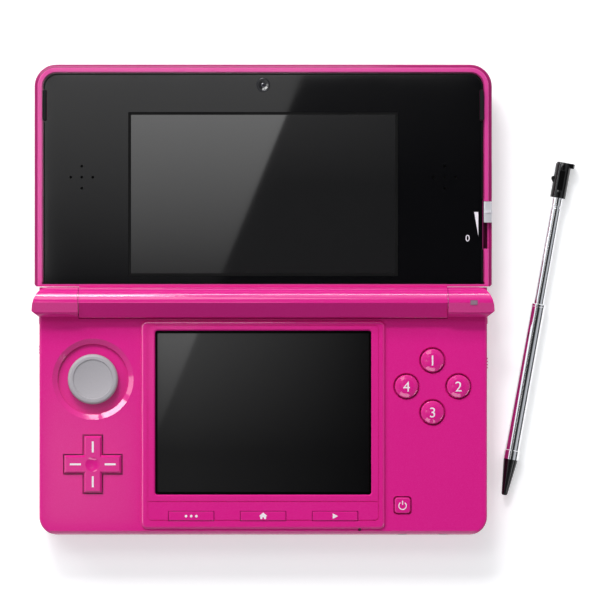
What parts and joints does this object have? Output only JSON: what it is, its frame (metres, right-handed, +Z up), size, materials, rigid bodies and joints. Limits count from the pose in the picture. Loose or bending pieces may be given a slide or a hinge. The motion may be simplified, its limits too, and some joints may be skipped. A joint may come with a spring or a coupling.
{
  "type": "clamshell handheld game console",
  "caption": "Two-screen clamshell handheld console lying open flat, with thumb pad, direction pad, buttons, sliders, hinged lid and a telescopic stylus beside it.",
  "frame": {"origin": "middle of the base's flat underside, on the table", "axes": "+X to the player's right, +Y from the player's edge towards the hinge and the opened lid, +Z up"},
  "size_m": [0.1583, 0.1368, 0.0177],
  "materials": {
    "body_gloss": "glossy pearl magenta",
    "rim_gloss": "glossy pearl pink",
    "button_gloss": "clear-coated magenta",
    "panel_black": "piano black",
    "display": "dark, switched off",
    "pad_grey": "satin grey",
    "black_plastic": "satin black",
    "black_rubber": "satin black",
    "membrane_rubber": "translucent grey",
    "board_green": "solder mask",
    "battery_grey": "satin grey",
    "plated_steel": "plated",
    "white_plastic": "natural",
    "light_pipe": "frosted clear",
    "flex_amber": "amber film",
    "silver_slider": "satin silver",
    "chrome_tube": "polished"
  },
  "bodies": {
    "base": {"top_case": "body_gloss", "lower_case": "body_gloss", "battery_cover": "body_gloss", "battery": "battery_grey", "main_board": "board_green", "touch_panel": "display", "lower_display": "display", "pad_tray": "black_plastic", "dpad_membrane": "membrane_rubber", "button_membrane": "membrane_rubber", "key_membrane": "membrane_rubber", "memory_socket": "plated_steel", "game_card_cage": "plated_steel", "charge_port": "plated_steel", "audio_jack": "black_plastic", "stylus_sleeve": "black_plastic", "ir_window": "panel_black", "status_leds": "light_pipe", "notice_led": "light_pipe", "microphone": "plated_steel", "case_screws": "plated_steel", "cover_screws": "plated_steel", "hinge_shaft": "plated_steel", "hinge_bush": "white_plastic"},
    "lid": {"lid_cover": "body_gloss", "lid_frame": "rim_gloss", "lid_panel": "panel_black", "upper_display": "display", "speakers": "black_plastic", "camera_board": "board_green", "inner_camera": "panel_black", "outer_cameras": "panel_black", "lid_bumpers": "black_rubber", "lid_screws": "plated_steel", "hinge_cartridge": "plated_steel", "flex_cable": "flex_amber"},
    "depth_slider": {"depth_slider": "silver_slider"},
    "pad_carriage": {"pad_carriage": "plated_steel"},
    "circle_pad": {"circle_pad": "pad_grey", "pad_slider": "body_gloss"},
    "dpad_pivot": {"dpad_pivot": "white_plastic"},
    "dpad": {"dpad": "button_gloss"},
    "button_top": {"button_top": "button_gloss"},
    "button_left": {"button_left": "button_gloss"},
    "button_right": {"button_right": "button_gloss"},
    "button_bottom": {"button_bottom": "button_gloss"},
    "power_button": {"power_button": "button_gloss"},
    "select_key": {"select_key": "button_gloss"},
    "home_key": {"home_key": "button_gloss"},
    "start_key": {"start_key": "button_gloss"},
    "left_shoulder": {"left_shoulder": "body_gloss"},
    "right_shoulder": {"right_shoulder": "body_gloss"},
    "volume_slider": {"volume_slider": "body_gloss"},
    "wireless_switch": {"wireless_switch": "body_gloss"},
    "card_cover": {"card_cover": "body_gloss"},
    "stylus": {"stylus_tip": "black_plastic", "stylus_tube": "chrome_tube"},
    "stylus_top": {"stylus_inner_tube": "chrome_tube", "stylus_cap": "black_plastic"}
  },
  "joints": [
    {"name": "lid_hinge", "type": "hinge", "parent": "base", "child": "lid", "pos_m": [0, 0.0316, 0.0132], "axis": [1, 0, 0], "range_deg": [0, 180]},
    {"name": "depth_slide", "type": "slide", "parent": "lid", "child": "depth_slider", "axis": [0, -1, 0], "range_m": [0, 0.0075]},
    {"name": "pad_slide_x", "type": "slide", "parent": "base", "child": "pad_carriage", "axis": [1, 0, 0], "range_m": [-0.002, 0.002], "stiffness_N_per_m": 150},
    {"name": "pad_slide_y", "type": "slide", "parent": "pad_carriage", "child": "circle_pad", "axis": [0, 1, 0], "range_m": [-0.002, 0.002], "stiffness_N_per_m": 150},
    {"name": "dpad_tip", "type": "hinge", "parent": "base", "child": "dpad_pivot", "pos_m": [-0.0495, -0.0154, 0.00935], "axis": [1, 0, 0], "range_deg": [-2.4, 2.4], "stiffness_Nm_per_rad": 0.05},
    {"name": "dpad_rock", "type": "hinge", "parent": "dpad_pivot", "child": "dpad", "pos_m": [-0.0495, -0.0154, 0.00935], "axis": [0, 1, 0], "range_deg": [-2.4, 2.4], "stiffness_Nm_per_rad": 0.05},
    {"name": "button_top_press", "type": "slide", "parent": "base", "child": "button_top", "axis": [0, 0, -1], "range_m": [0, 0.0008], "stiffness_N_per_m": 250},
    {"name": "button_left_press", "type": "slide", "parent": "base", "child": "button_left", "axis": [0, 0, -1], "range_m": [0, 0.0008], "stiffness_N_per_m": 250},
    {"name": "button_right_press", "type": "slide", "parent": "base", "child": "button_right", "axis": [0, 0, -1], "range_m": [0, 0.0008], "stiffness_N_per_m": 250},
    {"name": "button_bottom_press", "type": "slide", "parent": "base", "child": "button_bottom", "axis": [0, 0, -1], "range_m": [0, 0.0008], "stiffness_N_per_m": 250},
    {"name": "power_press", "type": "slide", "parent": "base", "child": "power_button", "axis": [0, 0, -1], "range_m": [0, 0.0005], "stiffness_N_per_m": 250},
    {"name": "select_press", "type": "slide", "parent": "base", "child": "select_key", "axis": [0, 0, -1], "range_m": [0, 0.0004], "stiffness_N_per_m": 250},
    {"name": "home_press", "type": "slide", "parent": "base", "child": "home_key", "axis": [0, 0, -1], "range_m": [0, 0.0004], "stiffness_N_per_m": 250},
    {"name": "start_press", "type": "slide", "parent": "base", "child": "start_key", "axis": [0, 0, -1], "range_m": [0, 0.0004], "stiffness_N_per_m": 250},
    {"name": "left_shoulder_press", "type": "hinge", "parent": "base", "child": "left_shoulder", "pos_m": [-0.0496, 0.033, 0.006], "axis": [0, 0, 1], "range_deg": [0, 3.5], "stiffness_Nm_per_rad": 0.05},
    {"name": "right_shoulder_press", "type": "hinge", "parent": "base", "child": "right_shoulder", "pos_m": [0.0496, 0.033, 0.006], "axis": [0, 0, -1], "range_deg": [0, 3.5], "stiffness_Nm_per_rad": 0.05},
    {"name": "volume_slide", "type": "slide", "parent": "base", "child": "volume_slider", "axis": [0, 1, 0], "range_m": [-0.0035, 0.0035]},
    {"name": "wireless_slide", "type": "slide", "parent": "base", "child": "wireless_switch", "axis": [0, 1, 0], "range_m": [0, 0.0018], "stiffness_N_per_m": 250},
    {"name": "card_cover_hinge", "type": "hinge", "parent": "base", "child": "card_cover", "pos_m": [-0.0642, -0.013, 0.0036], "axis": [0, -1, 0], "range_deg": [0, 90]},
    {"name": "stylus_lift", "type": "slide", "parent": "base", "child": "stylus", "axis": [0, 0, 1], "range_m": [0, 0.06]},
    {"name": "stylus_telescope", "type": "slide", "parent": "stylus", "child": "stylus_top", "axis": [-0.1771, -0.9842, 0], "range_m": [0, 0.031]}
  ]
}
